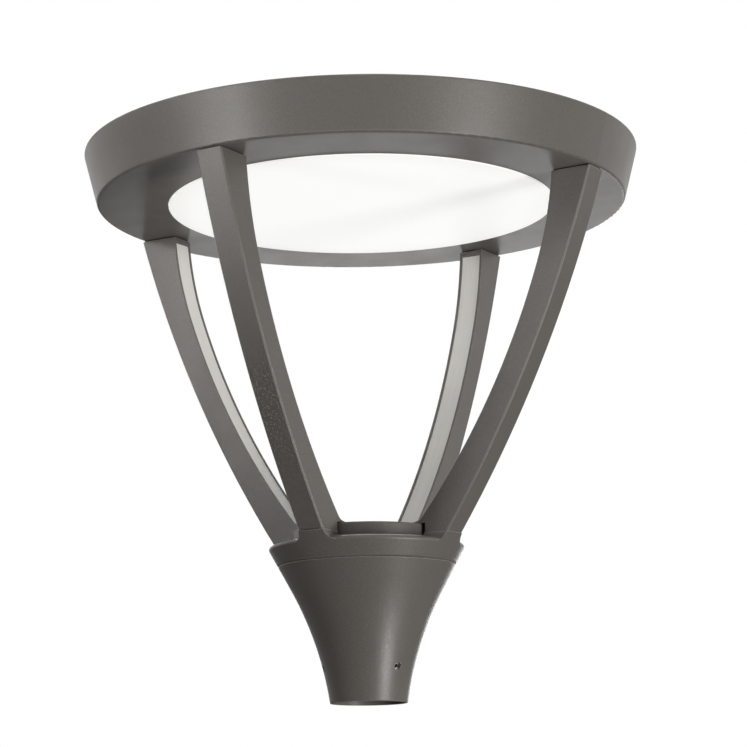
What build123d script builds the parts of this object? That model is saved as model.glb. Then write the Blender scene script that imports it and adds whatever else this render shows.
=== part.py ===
from build123d import *
import math
import os

os.makedirs("parts", exist_ok=True)

# Sizes in millimetres. Z is up, with zero at the mouth of the pole socket on the lantern's axis.

# Neck and pole socket
socket_r = 38.5
mouth_wall = 2.5
mouth_edge = 0.8
neck_h = 144.3
joint_r = 94.1
flare_angle = 28.6
cone_drop = 24.3
neck_wall = 5.0
sleeve_wall = 5.0
pocket_floor = 70.0
socket_depth = 95.0
stop_t = 5.0
stop_r = 31.0
sleeve_rib_count = 6
sleeve_rib_t = 5.0
joint_chamfer = 1.2

# Hub ring, lugs and cap
ring_h = 19.7
deck_t = 8.0
deck_rise = 6.0
ring_edge = 3.0
spigot_h = 3.5
spigot_inset = 6.8
spigot_t = 4.0
ring_wall = 6.0
lug_h = 8.0
lug_spread = 10.0
deck_w = 27.3
cap_rise = 18.0
cap_wall = 3.0
cap_top_t = 3.5
cap_edge = 1.5
cap_post_r = 9.0
deck_rib_t = 5.0
deck_rib_h = 6.0

# Arms
arm_count = 4
arm_w = 30.0
arm_rise = 362.7
arm_outer_radius = 1350.0
arm_low_radius = 800.0
arm_high_radius = 390.0
arm_foot_inset = 1.3
arm_top_inset = 0.3
arm_foot_depth = 29.5
arm_sweep_h = 18.0
arm_sweep_r = 15.0
arm_knee_h = 268.0
arm_knee_depth = 31.4
toe_gap = 3.5
toe_t = 1.6
arm_web = 6.0
arm_side = 3.2
arm_edge = 1.5
lip_edge = 0.6
foot_block_h = 14.0
head_block_h = 20.0

# Light-grey cover strips in the arm channels
strip_t = 2.0
strip_recess = 1.0
strip_ledge = 1.5
strip_end_gap = 1.2
strip_top_drop = 5.0
strip_foot_rise = 22.0

# Round housing that carries the light
rim_top_r = 300.0
rim_taper = 14.2
rim_h = 55.1
rim_wall = 4.0
rim_low_edge = 3.0
rim_top_edge = 1.5
base_t = 4.0
flange_w = 76.3
cover_recess = 5.0
rim_lip = 4.5
ledge_w = 15.0
ledge_t = 4.0
ledge_slope = 10.0
arm_pad_t = 4.0
arm_pad_w = 38.0
arm_pad_l = 46.0
housing_rib_t = 3.0
housing_rib_h = 12.0

# Diffuser, its gasket and its clamp ring
diffuser_t = 3.0
diffuser_proud = 1.2
diffuser_lip_w = 8.5
diffuser_edge = 1.5
diffuser_gasket_t = 2.0
clamp_t = 2.0
clamp_w = 20.0
clamp_overlap = 1.5
clamp_screw_count = 8
clamp_boss_r = 4.5

# Gear tray, light source and gear
tray_t = 3.0
tray_post_h = 20.0
tray_post_r = 6.5
tray_post_gap = 5.5
tray_margin = 8.0
tray_post_count = 8
tray_notch_w = 26.0
tray_notch_l = 12.0
reflector_t = 1.0
reflector_lean = 8.0
reflector_flange = 3.0
reflector_inset = 1.5
board_count = 4
board_in_r = 45.0
board_t = 1.6
board_gap = 3.0
board_margin = 6.0
board_screw_margin = 6.0
board_screw_angle = 30.0
led_w = 3.5
led_h = 0.8
led_ring_count = 3
led_pitch = 36.0
driver_l = 160.0
driver_w = 60.0
driver_h = 30.0
case_corner = 4.0
case_edge = 1.5
driver_ear = 10.0
driver_ear_t = 2.0
driver_y = 60.0
terminal_l = 42.0
terminal_w = 24.0
terminal_h = 18.0
terminal_ear = 10.0
terminal_ear_t = 4.0
terminal_hole_r = 2.2
terminal_hole_h = 6.0
terminal_x = 100.0
terminal_y = -40.0
surge_l = 60.0
surge_w = 30.0
surge_h = 24.0
surge_x = -60.0
surge_y = -50.0
lead_r = 2.5
lead_lift = 10.0
lead_bend = 20.0
connector_l = 24.0
connector_w = 16.0
connector_h = 4.0

# Top cover
cover_t = 2.5
cover_dome = 14.0
cover_gasket_t = 1.5
cover_screw_count = 8

# Screws: shank radius, head radius, head height
m3 = (1.5, 2.8, 2.0)
m4 = (2.0, 3.8, 2.6)
m5 = (2.5, 4.75, 3.2)
m6 = (3.0, 4.75, 4.0)
screw_grip = 10.0
grub_r = 4.0
grub_key_r = 2.3
grub_l = 6.0
grub_h = 36.0
grub_count = 3
grub_angle = -18.8
neck_screw_in = 28.1
neck_boss_r = 7.0
neck_boss_h = 30.0
foot_screw_gap = 1.05
foot_screw_in = 21.0
foot_screw_pitch = 10.0
foot_wire_in = 18.0
foot_wire_r = 4.0
head_screw_in = 17.5
head_screw_side = 8.5
head_wire_in = 33.5
head_wire_r = 4.5
grommet_r = 4.0
grommet_wall = 2.0
grommet_flange = 2.0
grommet_flange_t = 1.5

# Clearances
fit_gap = 0.2
thread_gap = 0.05
screw_gap = 0.3
window_gap = 0.5
cover_gap = 1.0
cap_gap = 0.4
seal_t = 1.9
seal_inset = 2.0

# Heights and radii that follow from the sizes
flare = math.tan(math.radians(flare_angle))
mouth_r = socket_r + mouth_wall
deck_z = neck_h + ring_h
deck_under_z = deck_z - deck_t
cap_seat_z = deck_z + deck_rise
foot_z = deck_z + lug_h
cap_z = deck_z + cap_rise
arm_top_z = foot_z + arm_rise
under_z = arm_top_z + seal_t
base_z = under_z + base_t
rim_top_z = under_z + rim_h
under_r = rim_top_r - rim_taper
ring_top_r = joint_r + flare * ring_h
cap_r = ring_top_r - deck_w
spigot_r = joint_r - spigot_inset
neck_screw_circle = joint_r - neck_screw_in
arm_foot_r = joint_r + flare * (foot_z - neck_h) - arm_foot_inset
arm_top_r = under_r - arm_top_inset
window_r = under_r - flange_w
toe_r = cap_r + toe_gap
channel_w = arm_w - 2 * arm_side
wire_w = channel_w - 2 * strip_ledge
floor_z = foot_z + foot_block_h
ceiling_z = arm_top_z - head_block_h
strip_low_z = foot_z + strip_foot_rise
strip_high_z = arm_top_z - strip_top_drop
recess_r = rim_top_r - rim_lip
ledge_z = rim_top_z - cover_recess
ledge_r = recess_r - ledge_w
lip_z = base_z + diffuser_gasket_t
lip_r = window_r - window_gap + diffuser_lip_w
clamp_z = lip_z + diffuser_t
clamp_in_r = window_r - clamp_overlap
clamp_r = clamp_in_r + clamp_w
clamp_circle = (lip_r + clamp_r) / 2
tray_z = base_z + tray_post_h
gear_z = tray_z + tray_t
tray_post_circle = clamp_r + tray_post_gap + tray_post_r
tray_r = tray_post_circle + tray_margin
reflector_low_r = window_r + reflector_inset
reflector_high_r = reflector_low_r - reflector_lean
board_out_r = reflector_high_r - reflector_flange - board_margin
cover_z = ledge_z + cover_gasket_t
cover_circle = recess_r - ledge_w / 2
head_screw_r = arm_top_r - head_screw_in
head_wire_x = arm_top_r - head_wire_in
foot_screw_xs = (arm_foot_r - foot_screw_in, arm_foot_r - foot_screw_in + foot_screw_pitch)
foot_screw_side = m6[1] + foot_screw_gap - wire_w / 2
foot_wire_x = arm_foot_r - foot_wire_in
foot_wire_side = wire_w / 2 - foot_wire_r - screw_gap


def turned(outline):
    """Turn a closed outline of radius and height about the lantern's axis."""
    return revolve(Plane.XZ * make_face(outline), Axis.Z)


def cylinder(radius, low, high, x=0.0, y=0.0):
    """Upright cylinder between two heights."""
    return Pos(x, y, low) * extrude(Circle(radius), high - low)


def ring(inner, outer, low, high):
    """Flat ring between two heights."""
    return Pos(0, 0, low) * extrude(Circle(outer) - Circle(inner), high - low)


def block(x_from, x_to, width, low, high):
    """Upright block that straddles the XZ plane."""
    centre = ((x_from + x_to) / 2, 0, (low + high) / 2)
    return Pos(*centre) * Box(x_to - x_from, width, high - low)


def angles(count, start=0.0):
    """Evenly spaced angles round the axis."""
    return [start + i * 360 / count for i in range(count)]


def around(shape, turns):
    """Copies of a shape, turned about the axis."""
    return [Rot(0, 0, turn) * shape for turn in turns]


def screw(size, x, y, seat, tip, up=True):
    """Screw with a cylindrical head; its seat is the face under the head."""
    shank_r, head_r, head_h = size
    if up:
        return cylinder(shank_r, tip, seat, x, y) + cylinder(head_r, seat, seat + head_h, x, y)
    return cylinder(shank_r, seat, tip, x, y) + cylinder(head_r, seat - head_h, seat, x, y)


def circle_through(low, high, radius):
    """Centre, on the axis side, of the circle of given radius through two points."""
    run = high[0] - low[0]
    rise = high[1] - low[1]
    chord = math.hypot(run, rise)
    reach = math.sqrt(radius**2 - chord**2 / 4)
    middle = ((low[0] + high[0]) / 2, (low[1] + high[1]) / 2)
    return (middle[0] - reach * rise / chord, middle[1] + reach * run / chord)


def radius_at(centre, radius, height):
    """Distance from the axis of a circle's outer side at a height."""
    return centre[0] + math.sqrt(radius**2 - (height - centre[1])**2)


def arc_between(centre, radius, low, high):
    """Arc of a circle's outer side between two heights."""
    heights = (low, (low + high) / 2, high)
    return ThreePointArc(*[(radius_at(centre, radius, height), height) for height in heights])


# Curves of the arm's side view, as radius from the axis and height
outer_centre = circle_through((arm_foot_r, foot_z), (arm_top_r, arm_top_z), arm_outer_radius)
knee_z = foot_z + arm_knee_h
knee = (radius_at(outer_centre, arm_outer_radius, knee_z) - arm_knee_depth, knee_z)
heel = (arm_foot_r - arm_foot_depth, foot_z + arm_sweep_h)
low_centre = circle_through(heel, knee, arm_low_radius)
knee_turn = ((knee[0] - low_centre[0]) / arm_low_radius, (knee[1] - low_centre[1]) / arm_low_radius)
high_centre = (knee[0] - knee_turn[0] * arm_high_radius, knee[1] - knee_turn[1] * arm_high_radius)


def inner_curve(depth, low, high):
    """Inner edge of the arm, moved into the arm by a depth, between two heights."""
    bend_z = low_centre[1] + knee_turn[1] * (arm_low_radius + depth)
    lower = arc_between(low_centre, arm_low_radius + depth, low, bend_z)
    upper = arc_between(high_centre, arm_high_radius + depth, bend_z, high)
    return [lower, upper]


def outer_curve(depth, low, high):
    """Outer edge of the arm, moved into the arm by a depth, between two heights."""
    return arc_between(outer_centre, arm_outer_radius - depth, low, high)


def side_face(lines):
    """Close a chain of lines drawn in the arm's side view."""
    edges = list(lines)
    for first, second in zip(lines, lines[1:] + lines[:1]):
        if (first @ 1 - second @ 0).length > 0.001:
            edges.append(Line(first @ 1, second @ 0))
    return Plane.XZ * make_face(Curve() + edges)


def reversed_arc(arc):
    """The same arc, drawn the other way."""
    return ThreePointArc(arc @ 1, arc @ 0.5, arc @ 0)


def reversed_curve(arcs):
    """The same run of arcs, drawn the other way."""
    return [reversed_arc(arc) for arc in reversed(arcs)]


def circles_of(body, radius):
    """Round edges of the body that have this radius."""
    return body.edges().filter_by(
        lambda e: e.geom_type == GeomType.CIRCLE and abs(e.radius - radius) < 0.01
    )


def make_neck():
    """Flared neck with a pole sleeve inside, ribs, a stop for the pole and screw bosses."""
    bend = (joint_r - flare * cone_drop, neck_h - cone_drop)
    downward = (-flare, -1)
    seat_z = neck_h - spigot_h - fit_gap
    wall_r = neck_wall / math.cos(math.radians(flare_angle))
    outline = Curve() + [
        Line((0, 0), (0, neck_h)),
        Line((0, neck_h), (joint_r, neck_h)),
        Line((joint_r, neck_h), bend),
        TangentArc(bend, (mouth_r, mouth_edge), tangent=downward),
        Polyline((mouth_r, mouth_edge), (mouth_r - mouth_edge, 0), (0, 0)),
    ]
    body = turned(outline)
    top_edge = body.edges().filter_by(GeomType.CIRCLE).sort_by(Axis.Z)[-1]
    body = chamfer(top_edge, joint_chamfer)
    outside = body
    inner_bend = (bend[0] - wall_r, bend[1])
    inner_top = (joint_r - wall_r, neck_h)
    sleeve_r = socket_r + sleeve_wall
    inner_arc = TangentArc(inner_bend, (mouth_r - neck_wall, 0), tangent=downward)
    hollow_outline = Curve() + [
        Line((0, 0), (mouth_r - neck_wall, 0)),
        reversed_arc(inner_arc),
        Line(inner_bend, inner_top),
        Line(inner_top, (0, neck_h)),
        Line((0, neck_h), (0, 0)),
    ]
    hollow = turned(hollow_outline)
    sleeve_top = socket_depth + stop_t
    chamber = hollow & cylinder(2 * joint_r, sleeve_top, neck_h)
    pocket = hollow & ring(sleeve_r, 2 * joint_r, pocket_floor, neck_h)
    rib = block(socket_r + 1, 2 * joint_r, sleeve_rib_t, pocket_floor - 1, sleeve_top)
    for piece in around(rib, angles(sleeve_rib_count, grub_angle)):
        pocket -= piece
    body -= chamber
    body -= pocket
    body -= cylinder(spigot_r + fit_gap, seat_z, neck_h)
    boss = cylinder(neck_boss_r, neck_h - neck_boss_h, seat_z, neck_screw_circle)
    boss += block(neck_screw_circle, joint_r, sleeve_rib_t, neck_h - neck_boss_h, seat_z)
    for piece in around(boss & outside, angles(arm_count, 45)):
        body += piece
    for turn in angles(arm_count, 45):
        tip = neck_h - neck_boss_h + 4
        body -= Rot(0, 0, turn) * cylinder(m6[0] + thread_gap, tip, neck_h, neck_screw_circle)
    body -= cylinder(socket_r, 0, socket_depth)
    body -= cylinder(stop_r, 0, neck_h)
    drilling = Pos(0, 0, grub_h) * Rot(0, 90, 0) * extrude(Circle(grub_r + thread_gap), joint_r)
    for piece in around(drilling, angles(grub_count, grub_angle)):
        body -= piece
    return body


def make_grub_screws():
    """Socket set screws that bear on the pole through the neck's wall."""
    shape = extrude(Circle(grub_r), grub_l)
    shape -= Pos(0, 0, grub_l - grub_r) * extrude(RegularPolygon(grub_key_r, 6), grub_r)
    shape = Pos(socket_r + fit_gap, 0, grub_h) * Rot(0, 90, 0) * shape
    return around(shape, angles(grub_count, grub_angle))


def lug_side():
    """Front outline of a lug: flat top and hollow flanks that run out into the ring."""
    half = arm_w / 2
    wide = half + lug_spread
    low_z = foot_z - lug_spread
    turn_y = half + lug_spread * (1 - math.sqrt(0.5))
    turn_z = foot_z - lug_spread * math.sqrt(0.5)
    return Plane.YZ * make_face(Curve() + [
        Polyline((-half, foot_z), (-half, foot_z + 1), (half, foot_z + 1), (half, foot_z)),
        ThreePointArc((half, foot_z), (turn_y, turn_z), (wide, low_z)),
        Polyline((wide, low_z), (wide, deck_under_z), (-wide, deck_under_z), (-wide, low_z)),
        ThreePointArc((-wide, low_z), (-turn_y, turn_z), (-half, foot_z)),
    ])


def above_deck():
    """Space over the deck, which rises to the cap's seat from the rounded edge of the ring."""
    lean = math.radians(flare_angle)
    rise = math.atan2(deck_rise, ring_top_r - cap_r)
    corner = Vector(ring_top_r, deck_z)
    inward = Vector(-math.cos(rise), math.sin(rise))
    downward = Vector(-math.sin(lean), -math.cos(lean))
    half = (math.pi / 2 - lean + rise) / 2
    shallow = corner + inward * (ring_edge / math.tan(half))
    steep = corner + downward * (ring_edge / math.tan(half))
    round_mid = corner + (inward + downward).normalized() * (ring_edge / math.sin(half) - ring_edge)
    far = joint_r + ring_top_r
    return turned(Curve() + [
        Polyline((0, cap_seat_z), (cap_r, cap_seat_z), shallow),
        ThreePointArc(shallow, round_mid, steep),
        Polyline(steep, (far, steep.Y), (far, foot_z + 1), (0, foot_z + 1), (0, cap_seat_z)),
    ])


def make_hub_ring():
    """Conical ring with a deck, four lugs for the arms and a spigot in the neck."""
    chamfer_r = joint_r + flare * joint_chamfer
    body = turned(Polyline(
        (0, neck_h),
        (joint_r - joint_chamfer, neck_h),
        (chamfer_r, neck_h + joint_chamfer),
        (joint_r + flare * (foot_z - neck_h), foot_z),
        (0, foot_z),
        close=True,
    ))
    cut = above_deck()
    lug = Pos(cap_r + toe_gap / 2, 0, 0) * extrude(lug_side(), joint_r)
    for piece in around(lug, angles(arm_count)):
        cut -= piece
    body -= cut
    inner_low = (spigot_r - spigot_t, neck_h - spigot_h)
    inner_high = (joint_r + flare * (deck_under_z - neck_h) - ring_wall, deck_under_z)
    inner_top = (cap_r, cap_seat_z - deck_t)
    middle = ((0, inner_top[1]), (0, neck_h - spigot_h))
    hollow = turned(Polyline(*middle, inner_low, inner_high, inner_top, close=True))
    body += cylinder(spigot_r, neck_h - spigot_h, neck_h)
    body -= hollow
    ribs = block(0, spigot_r, deck_rib_t, deck_under_z - deck_rib_h, cap_seat_z)
    for piece in around(ribs & hollow, angles(2 * arm_count, 90 / arm_count)):
        body += piece
    body += cylinder(cap_post_r, deck_z, cap_z - cap_top_t)
    body -= cylinder(m6[0] + thread_gap, cap_z - cap_top_t - screw_grip, cap_z)
    hole = cylinder(m6[0] + screw_gap, neck_h - spigot_h - 1, foot_z, neck_screw_circle)
    for piece in around(hole, angles(arm_count, 45)):
        body -= piece
    tip = foot_z - screw_grip - 1
    holes = cylinder(foot_wire_r, deck_under_z - 1, foot_z, foot_wire_x, foot_wire_side)
    for x in foot_screw_xs:
        holes += cylinder(m6[0] + thread_gap, tip, foot_z, x, foot_screw_side)
    for piece in around(holes, angles(arm_count)):
        body -= piece
    return body


def make_neck_screws():
    """Screws from the hub's deck down into the neck's bosses."""
    tip = neck_h - neck_boss_h + 5
    return around(screw(m6, neck_screw_circle, 0, cap_seat_z, tip), angles(arm_count, 45))


def make_hub_cap():
    """Shallow round cap over the neck screws."""
    body = cylinder(cap_r, cap_seat_z, cap_z)
    body = fillet(body.edges().sort_by(Axis.Z)[-1], cap_edge)
    body -= cylinder(cap_r - cap_wall, cap_seat_z, cap_z - cap_top_t)
    body -= cylinder(m6[0] + screw_gap, cap_seat_z, cap_z)
    return body


def make_hub_cap_screw():
    """Single screw in the middle of the cap."""
    return screw(m6, 0, 0, cap_z, cap_z - cap_top_t - screw_grip + 1)


def make_arm():
    """Curved cast arm: solid foot and head, a channel between them and a ledge for its cover."""
    toe_top = cap_z + cap_gap + toe_t
    sweep_z = toe_top
    slope = (heel[0] - low_centre[0], heel[1] - low_centre[1])
    lean = math.atan2(-slope[1], slope[0])
    sweep_drop = arm_sweep_r * (1 - math.sin(lean))
    start_z = sweep_z + sweep_drop
    start_r = radius_at(low_centre, arm_low_radius, start_z)
    toe_tip = start_r - arm_sweep_r * math.cos(lean)
    spare = 2 * arm_edge
    upper = inner_curve(0, start_z, arm_top_z + spare)
    outline = [
        outer_curve(0, foot_z - spare, arm_top_z + spare),
        reversed_arc(upper[1]),
        reversed_arc(upper[0]),
        TangentArc((start_r, start_z), (toe_tip, toe_top), tangent=(-math.sin(lean), -math.cos(lean))),
        Line((toe_tip, toe_top), (toe_tip, cap_z + cap_gap)),
        Line((toe_tip, cap_z + cap_gap), (toe_r, cap_z + cap_gap)),
        Line((toe_r, cap_z + cap_gap), (toe_r, foot_z - spare)),
    ]
    body = extrude(side_face(outline), arm_w / 2, both=True)
    outside = body.edges().filter_by(
        lambda e: e.geom_type == GeomType.CIRCLE and e.radius > arm_outer_radius - 1
    )
    body = chamfer(outside, arm_edge)
    body &= block(0, 2 * arm_top_r, 2 * arm_w, foot_z, arm_top_z)
    pocket_depth = strip_recess + strip_t
    pocket = inner_curve(-4, strip_low_z, strip_high_z)
    pocket += reversed_curve(inner_curve(pocket_depth, strip_low_z, strip_high_z))
    body -= extrude(side_face(pocket), channel_w / 2, both=True)
    lips = body.edges().filter_by(
        lambda e: e.geom_type == GeomType.CIRCLE
        and min(abs(e.radius - arm_low_radius), abs(e.radius - arm_high_radius)) < 0.01
        and abs(abs(e.center().Y) - arm_w / 2) < 0.01
    )
    body = chamfer(lips, lip_edge)
    channel = inner_curve(pocket_depth - 1, floor_z, ceiling_z)
    channel += [reversed_arc(outer_curve(arm_web, floor_z, ceiling_z))]
    body -= extrude(side_face(channel), wire_w / 2, both=True)
    for side in (-head_screw_side, head_screw_side):
        tip = arm_top_z - screw_grip - 2
        body -= cylinder(m6[0] + thread_gap, tip, arm_top_z, head_screw_r, side)
    body -= cylinder(head_wire_r, ceiling_z - 5, arm_top_z, head_wire_x)
    for x in foot_screw_xs:
        body -= cylinder(m6[0] + screw_gap, foot_z, floor_z, x, foot_screw_side)
    body -= cylinder(foot_wire_r, foot_z, floor_z + 1, foot_wire_x, foot_wire_side)
    return body


def make_arm_cover():
    """Thin strip that closes the arm's channel, sunk a little below the lips."""
    low = strip_low_z + strip_end_gap
    high = strip_high_z - strip_end_gap
    front = inner_curve(strip_recess, low, high)
    back = reversed_curve(inner_curve(strip_recess + strip_t, low, high))
    return extrude(side_face(front + back), channel_w / 2 - fit_gap, both=True)


def make_arm_foot_screws():
    """Screws from the arm's channel down into the lugs."""
    pair = [screw(m6, x, foot_screw_side, floor_z, foot_z - screw_grip) for x in foot_screw_xs]
    return [Rot(0, 0, turn) * part for turn in angles(arm_count) for part in pair]


def make_arm_head_screws():
    """Screws from inside the housing down into the arm's head."""
    seat = base_z + arm_pad_t
    tip = arm_top_z - screw_grip
    pair = [screw(m6, head_screw_r, y, seat, tip) for y in (-head_screw_side, head_screw_side)]
    return [Rot(0, 0, turn) * part for turn in angles(arm_count) for part in pair]


def make_arm_seal():
    """Flat rubber seal between an arm's head and the housing."""
    top_in_r = radius_at(high_centre, arm_high_radius, arm_top_z)
    body = block(top_in_r + seal_inset, arm_top_r - seal_inset, arm_w - 2 * seal_inset, arm_top_z, under_z)
    for side in (-head_screw_side, head_screw_side):
        body -= cylinder(m6[0] + screw_gap, arm_top_z, under_z, head_screw_r, side)
    body -= cylinder(head_wire_r, arm_top_z, under_z, head_wire_x)
    return body


def wall_r_at(height):
    """Inner face of the housing's rim wall."""
    return under_r + rim_taper * (height - under_z) / rim_h - rim_wall


def make_head_housing():
    """Round cast housing: window flange, leaning rim, ledge for the cover, posts, pads and ribs."""
    slope_z = ledge_z - ledge_t - ledge_slope
    body = turned(Polyline(
        (window_r, under_z),
        (under_r, under_z),
        (rim_top_r, rim_top_z),
        (recess_r, rim_top_z),
        (recess_r, ledge_z),
        (ledge_r, ledge_z),
        (ledge_r, ledge_z - ledge_t),
        (wall_r_at(slope_z), slope_z),
        (wall_r_at(base_z), base_z),
        (window_r, base_z),
        close=True,
    ))
    body = fillet(circles_of(body, under_r), rim_low_edge)
    body = fillet(circles_of(body, rim_top_r), rim_top_edge)
    inside = turned(Polyline(
        (0, base_z),
        (wall_r_at(base_z), base_z),
        (wall_r_at(slope_z), slope_z),
        (0, slope_z),
        close=True,
    ))
    pad = block(arm_top_r - arm_pad_l, 2 * arm_top_r, arm_pad_w, base_z, base_z + arm_pad_t) & inside
    for piece in around(pad, angles(arm_count)):
        body += piece
    post = cylinder(tray_post_r, base_z, tray_z, tray_post_circle)
    rib = block(tray_post_circle, 2 * arm_top_r, housing_rib_t, base_z, base_z + housing_rib_h) & inside
    for piece in around(post + rib, angles(tray_post_count, 180 / tray_post_count)):
        body += piece
    low_boss = cylinder(clamp_boss_r, base_z, clamp_z, clamp_circle)
    for piece in around(low_boss, angles(clamp_screw_count)):
        body += piece
    tray_tip = tray_z - screw_grip - 1
    for turn in angles(tray_post_count, 180 / tray_post_count):
        body -= Rot(0, 0, turn) * cylinder(m5[0] + thread_gap, tray_tip, tray_z, tray_post_circle)
    for turn in angles(clamp_screw_count):
        body -= Rot(0, 0, turn) * cylinder(m4[0] + thread_gap, base_z - 1, clamp_z, clamp_circle)
    for turn in angles(cover_screw_count, 180 / cover_screw_count):
        body -= Rot(0, 0, turn) * cylinder(m4[0] + thread_gap, ledge_z - ledge_t - 3, ledge_z, cover_circle)
    for turn in angles(arm_count):
        for side in (-head_screw_side, head_screw_side):
            hole = cylinder(m6[0] + screw_gap, under_z, base_z + arm_pad_t, head_screw_r, side)
            body -= Rot(0, 0, turn) * hole
    body -= cylinder(grommet_r + fit_gap, under_z, base_z + arm_pad_t, head_wire_x)
    return body


def make_cable_grommet():
    """Rubber grommet where the supply comes up from the first arm."""
    top = base_z + arm_pad_t
    body = cylinder(grommet_r, under_z, top, head_wire_x)
    body += cylinder(grommet_r + grommet_flange, top, top + grommet_flange_t, head_wire_x)
    body -= cylinder(grommet_r - grommet_wall, under_z, top + grommet_flange_t, head_wire_x)
    return body


def make_diffuser():
    """Shallow opal dish that hangs in the window by its lip."""
    low = under_z - diffuser_proud
    out_r = window_r - window_gap
    outline = Curve() + [
        Polyline(
            (0, low),
            (out_r, low),
            (out_r, lip_z),
            (lip_r, lip_z),
            (lip_r, clamp_z),
            (out_r - diffuser_t, clamp_z),
            (out_r - diffuser_t, low + diffuser_t),
            (0, low + diffuser_t),
            close=True,
        )
    ]
    body = turned(outline)
    edge = body.edges().filter_by(GeomType.CIRCLE).sort_by(Axis.Z)[0]
    return fillet(edge, diffuser_edge)


def make_diffuser_gasket():
    """Flat gasket under the diffuser's lip."""
    return ring(window_r + 1, lip_r, base_z, lip_z)


def make_clamp_ring():
    """Flat ring that presses the diffuser's lip on its gasket."""
    body = ring(clamp_in_r, clamp_r, clamp_z, clamp_z + clamp_t)
    for turn in angles(clamp_screw_count):
        body -= Rot(0, 0, turn) * cylinder(m4[0] + screw_gap, clamp_z, clamp_z + clamp_t, clamp_circle)
    return body


def make_clamp_screws():
    """Screws of the clamp ring."""
    seat = clamp_z + clamp_t
    return around(screw(m4, clamp_circle, 0, seat, base_z - 0.5), angles(clamp_screw_count))


def make_side_reflector():
    """White ring that leans in from the clamp ring to the tray and shuts in the light."""
    low = clamp_z + clamp_t
    low_r = reflector_low_r
    high_r = reflector_high_r
    flange = reflector_flange
    outline = Curve() + [
        Polyline(
            (low_r, low),
            (low_r + flange, low),
            (low_r + flange, low + reflector_t),
            (low_r + reflector_t, low + reflector_t),
            (high_r + reflector_t, tray_z - reflector_t),
            (high_r + reflector_t, tray_z),
            (high_r - flange, tray_z),
            (high_r - flange, tray_z - reflector_t),
            (high_r, tray_z - reflector_t),
            close=True,
        )
    ]
    return turned(outline)


def make_gear_tray():
    """Round plate that carries the boards below and the gear above."""
    body = cylinder(tray_r, tray_z, gear_z)
    body -= block(tray_r - tray_notch_l, tray_r + 1, tray_notch_w, tray_z, gear_z)
    body -= cylinder(grommet_r + fit_gap, tray_z, gear_z)
    for turn in angles(tray_post_count, 180 / tray_post_count):
        body -= Rot(0, 0, turn) * cylinder(m5[0] + screw_gap, tray_z, gear_z, tray_post_circle)
    for x, y in board_screw_points():
        body -= cylinder(m3[0] + thread_gap, tray_z, gear_z, x, y)
    for x, y in driver_screw_points() + terminal_screw_points() + surge_screw_points():
        body -= cylinder(m4[0] + thread_gap, tray_z, gear_z, x, y)
    return body


def make_tray_screws():
    """Screws of the gear tray."""
    one = screw(m5, tray_post_circle, 0, gear_z, tray_z - screw_grip)
    return around(one, angles(tray_post_count, 180 / tray_post_count))


def board_screw_points():
    """Places of the board screws: near the inner corners and the outer middle of each quadrant."""
    inner = board_in_r + board_screw_margin
    outer = board_out_r - board_screw_margin
    spots = ((inner, 0), (outer, -board_screw_angle), (outer, board_screw_angle))
    points = []
    for turn in angles(board_count, 180 / board_count):
        for distance, swing in spots:
            angle = math.radians(turn + swing)
            points.append((distance * math.cos(angle), distance * math.sin(angle)))
    return points


def make_led_board():
    """Quarter of the ring of boards, before it is turned into place."""
    face = Circle(board_out_r) - Circle(board_in_r)
    corner = board_gap / 2
    face = face & (Pos(corner, corner) * Rectangle(tray_r, tray_r, align=(Align.MIN, Align.MIN)))
    body = Pos(0, 0, tray_z - board_t) * extrude(face, board_t)
    for x, y in board_screw_points():
        if x > 0 and y > 0:
            body -= cylinder(m3[0] + screw_gap, tray_z - board_t, tray_z, x, y)
    return body


def make_led_packages():
    """Light-emitting packages in three rings on each board."""
    packages = []
    seat = tray_z - board_t
    spacing = (board_out_r - board_in_r) / led_ring_count
    for turn in angles(board_count):
        for number in range(led_ring_count):
            distance = board_in_r + (number + 0.5) * spacing
            count = round(math.radians(360 / board_count) * distance / led_pitch)
            for i in range(count):
                swing = turn + 360 / board_count * (i + 0.5) / count
                package = Pos(distance, 0, seat - led_h / 2) * Box(led_w, led_w, led_h)
                packages.append(Rot(0, 0, swing) * package)
    return packages


def make_board_screws():
    """Screws that hold the boards under the tray."""
    seat = tray_z - board_t
    return [screw(m3, x, y, seat, gear_z - 0.2, up=False) for x, y in board_screw_points()]


def make_board_connector():
    """Connector under the tray, where the driver's output reaches the boards."""
    return Pos(0, 0, tray_z - connector_h / 2) * Box(connector_l, connector_w, connector_h)


def driver_screw_points():
    """Places of the driver's two screws."""
    reach = driver_l / 2 + driver_ear / 2
    return [(-reach, driver_y), (reach, driver_y)]


def terminal_screw_points():
    """Places of the terminal block's two screws."""
    reach = (terminal_l - terminal_ear) / 2
    return [(terminal_x - reach, terminal_y), (terminal_x + reach, terminal_y)]


def surge_screw_points():
    """Places of the surge protector's two screws."""
    reach = surge_l / 2 + driver_ear / 2
    return [(surge_x - reach, surge_y), (surge_x + reach, surge_y)]


def eared_case(length, width, height, x, y):
    """Closed gear case with a mounting ear at each end."""
    upward = (Align.CENTER, Align.CENTER, Align.MIN)
    case = Box(length, width, height, align=upward)
    case = fillet(case.edges().filter_by(Axis.Z), case_corner)
    case = fillet(case.faces().sort_by(Axis.Z)[-1].edges(), case_edge)
    ears = Box(length + 2 * driver_ear, width * 0.5, driver_ear_t, align=upward)
    hole_x = (length + driver_ear) / 2
    for hole in (-hole_x, hole_x):
        ears -= Pos(hole, 0, 0) * extrude(Circle(m4[0] + screw_gap), driver_ear_t)
    return Pos(x, y, gear_z) * (case + ears)


def make_led_driver():
    """Driver case on the tray."""
    return eared_case(driver_l, driver_w, driver_h, 0, driver_y)


def make_driver_screws():
    """Screws of the driver."""
    return [screw(m4, x, y, gear_z + driver_ear_t, tray_z + 0.2) for x, y in driver_screw_points()]


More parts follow.
